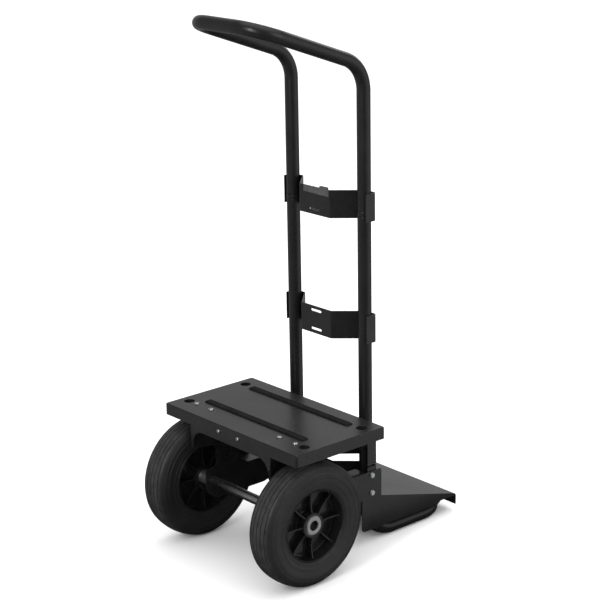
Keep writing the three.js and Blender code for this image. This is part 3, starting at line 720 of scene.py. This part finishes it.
for side, s in (("right", 1), ("left", -1)):
    c = s * WHEEL_X
    body = f"{side}_wheel"
    tyre = turned(f"{side}_tyre_skin", tyre_outline(c), AXLE_Y, AXLE_Z, 144)
    finish_piece(tyre, body, "tyre_rubber", [f"{side}_tyre"], 38)

    rim = turned(f"{side}_rim_skin", rim_outline(c), AXLE_Y, AXLE_Z, 96)
    ribs = []
    for k in range(8):
        a = math.radians(45 * k)
        for face in (1, -1):
            # Rib: tall at the hub, dipping in the middle, rising to the rim.
            prof = [(23.5, 1.0), (23.5, 18.2), (30, 16.4), (42, 14.8), (56, 15.2), (64.5, 16.8), (69.8, 18.6), (69.8, 1.0)]
            verts = []
            for w in (-1.5, 1.5):
                for r, h in prof:
                    y, z = r * math.cos(a) - w * math.sin(a), r * math.sin(a) + w * math.cos(a)
                    verts.append((c + face * h, AXLE_Y + y, AXLE_Z + z))
            n = len(prof)
            faces = [tuple(range(n)), tuple(range(2 * n - 1, n - 1, -1))] + [(i, (i + 1) % n, n + (i + 1) % n, n + i) for i in range(n)]
            ribs.append(bevel(mesh_of("c", verts, faces), 0.5, 2, 60))
    boolean(rim, ribs, "UNION")
    finish_piece(rim, body, "rim_plastic", [f"{side}_rim"], 32)

    x0, x1 = c + s * 21.1, c + s * 23.4
    ring = [(10.3, x0), (10.3, x1 - s * 0.5), (10.9, x1), (17.0, x1), (17.8, x1 - s * 0.7), (17.8, x0)]
    finish_piece(turned(f"{side}_hub_ring_skin", ring, AXLE_Y, AXLE_Z, 64), body, "zinc", [f"{side}_hub_ring"], 40, "dull_plate")
    x0, x1 = s * (SIDE_OUT + 0.3), c - s * 21.2
    mid = (x0 + x1) / 2
    ring = [(10.3, x0), (13.0, x0), (13.4, x0 + s * 0.6), (13.4, mid - s * 1.2), (12.4, mid - s * 0.6), (12.4, mid + s * 0.6),
            (13.4, mid + s * 1.2), (13.4, x1 - s * 0.6), (13.0, x1), (10.3, x1)]
    finish_piece(turned(f"{side}_axle_spacer_skin", ring, AXLE_Y, AXLE_Z, 64), "frame", "zinc", [f"{side}_axle_spacer"], 40, "dull_plate")
    tip = s * 181.3
    plug = lathe_solid(f"{side}_axle_plug_skin", [(0, s * 170), (5.6, s * 170), (5.6, s * 179.3), (9.4, s * 179.3), (9.8, s * 179.8),
                                                   (9.8, tip - s * 0.5), (9.3, tip), (7.2, tip), (6.4, tip - s * 0.7), (0, tip - s * 0.7)],
                       "x", AXLE_Y, AXLE_Z, 40)
    finish_piece(plug, "frame", "black_plastic", [f"{side}_axle_plug"], 35)

axle = lathe_solid("axle_skin", [(0, -178.9), (8.8, -178.9), (9.95, -177.8), (9.95, -40), (9.95, 40), (9.95, 177.8), (8.8, 178.9), (0, 178.9)],
                   "x", AXLE_Y, AXLE_Z, 64)
finish_piece(axle, "frame", "bright_steel", ["axle"], 35)

# The solids that stay: a procedural finish.
for name, ob in NODES.items():
    if ob.hide_render:
        continue
    ob.data.materials.clear()
    ob.data.materials.append(MAT[SLOT_OF[name]])
    for p in ob.data.polygons:
        p.material_index = 0

# ------------------------------------------------------------------ stage
bpy.ops.mesh.primitive_plane_add(size=60, location=(0, 0, -0.0002))
floor = bpy.context.object
floor.name = "floor"
m = bpy.data.materials.new("floor")
m.use_nodes = True
m.node_tree.nodes["Principled BSDF"].inputs["Base Color"].default_value = (0.86, 0.86, 0.86, 1)
m.node_tree.nodes["Principled BSDF"].inputs["Roughness"].default_value = 0.9
m.node_tree.nodes["Principled BSDF"].inputs["Specular IOR Level"].default_value = 0.1
floor.data.materials.append(m)
floor.visible_glossy = False

# Two dark cards, seen only in reflections, are painted shade that keeps the undersides dark: one on the floor under
# the truck stands in for the shadow there, and one standing between the wheels stands in for the shade under the
# deck.
fm = bpy.data.materials.new("shade_card")
fm.use_nodes = True
fm.node_tree.nodes["Principled BSDF"].inputs["Base Color"].default_value = (0.01, 0.01, 0.01, 1)
fm.node_tree.nodes["Principled BSDF"].inputs["Roughness"].default_value = 1.0
for name, at, turn, size in (("floor_flag", (-0.18, -0.05, 0.0002), (0, 0, 0), (0.8, 0.9)),
                             ("standing_flag", (0.116, -0.09, 0.13), (0, math.pi / 2, 0), (0.2, 0.34))):
    bpy.ops.mesh.primitive_plane_add(size=1, location=at, rotation=turn)
    shade_card = bpy.context.object
    shade_card.name = name
    shade_card.scale = (*size, 1)
    shade_card.data.materials.append(fm)
    shade_card.visible_camera = False
    shade_card.visible_diffuse = False
    shade_card.visible_shadow = False
    shade_card.visible_transmission = False

AMBIENT, LOW, SIDE, FAR, REAR = 1.4, 0.1, 0.66, 0.42, 0.22
world = bpy.data.worlds.new("studio")
scene.world = world
world.use_nodes = True
# A pale tent lights the floor; what the black paint mirrors is darker, with a
# brighter wall in front of the truck and another beyond the deck.
wt = world.node_tree


def wnode(kind, op, a, b=None):
    n = wt.nodes.new(kind)
    n.operation = op
    for i, v in enumerate((a, b)):
        if v is None:
            continue
        if isinstance(v, (int, float, tuple)):
            n.inputs[i].default_value = v
        else:
            wt.links.new(v, n.inputs[i])
    return n


coord = wt.nodes.new("ShaderNodeTexCoord").outputs["Generated"]
mirrored_light = LOW
for direction, power, gain in (((0.757, 0.653, 0.0), 6.0, SIDE), ((-0.725, 0.626, 0.287), 4.0, FAR),
                               ((-0.725, -0.626, -0.287), 2.0, REAR)):
    d = wnode("ShaderNodeVectorMath", "DOT_PRODUCT", coord, direction).outputs["Value"]
    d = wnode("ShaderNodeMath", "MAXIMUM", d, 0.0).outputs[0]
    d = wnode("ShaderNodeMath", "POWER", d, power).outputs[0]
    d = wnode("ShaderNodeMath", "MULTIPLY", d, gain).outputs[0]
    mirrored_light = wnode("ShaderNodeMath", "ADD", d, mirrored_light).outputs[0]
path = wt.nodes.new("ShaderNodeLightPath").outputs["Is Glossy Ray"]
glossy = wnode("ShaderNodeMath", "MULTIPLY", path, mirrored_light).outputs[0]
rest = wnode("ShaderNodeMath", "MULTIPLY", wnode("ShaderNodeMath", "SUBTRACT", 1.0, path).outputs[0], AMBIENT).outputs[0]
total = wnode("ShaderNodeMath", "ADD", glossy, rest).outputs[0]
wt.nodes["Background"].inputs["Color"].default_value = (1, 1, 1, 1)
wt.links.new(total, wt.nodes["Background"].inputs["Strength"])


def softbox(name, at, aim, size, watts):
    light = bpy.data.lights.new(name, "AREA")
    light.shape = "RECTANGLE"
    light.size, light.size_y = size
    light.energy = watts
    ob = bpy.data.objects.new(name, light)
    scene.collection.objects.link(ob)
    ob.location = at
    ob.rotation_mode = "QUATERNION"
    ob.rotation_quaternion = (Vector(aim) - Vector(at)).to_track_quat("-Z", "Y")


softbox("key", (1.0, -2.85, 1.75), (0, 0, 0.6), (0.4, 1.7), 30)
softbox("top", (0.3, 0.1, 3.2), (0, 0, 0.2), (2.8, 2.8), 26)
softbox("right", (3.2, 0.4, 1.8), (0, 0, 0.4), (1.8, 2.4), 15)
softbox("front", (-1.2, 3.0, 2.2), (0, 0, 0.3), (2.4, 1.8), 14)

# ------------------------------------------------------------------ camera
AZ, EL, ROLL = math.radians(49.214), math.radians(16.668), math.radians(-0.988)
DIST = 3.5231
back = Vector((math.sin(AZ) * math.cos(EL), -math.cos(AZ) * math.cos(EL), math.sin(EL)))
right0 = Vector((math.cos(AZ), math.sin(AZ), 0))
up0 = back.cross(right0)
right = right0 * math.cos(ROLL) + up0 * math.sin(ROLL)
up = up0 * math.cos(ROLL) - right0 * math.sin(ROLL)
target = right0 * -0.058328 + Vector((0, SHIFT_Y / 1000, 0.489902))
cam_data = bpy.data.cameras.new("camera")
cam_data.sensor_width = 36
cam_data.lens = 36 * 1761.65 / 600
cam_data.clip_start, cam_data.clip_end = 0.05, 200
cam = bpy.data.objects.new("camera", cam_data)
scene.collection.objects.link(cam)
cam.matrix_world = Matrix((
    (right.x, up.x, back.x, (target + back * DIST).x),
    (right.y, up.y, back.y, (target + back * DIST).y),
    (right.z, up.z, back.z, (target + back * DIST).z),
    (0, 0, 0, 1)))
scene.camera = cam
scene.view_settings.view_transform = "Standard"
scene.view_settings.look = "None"
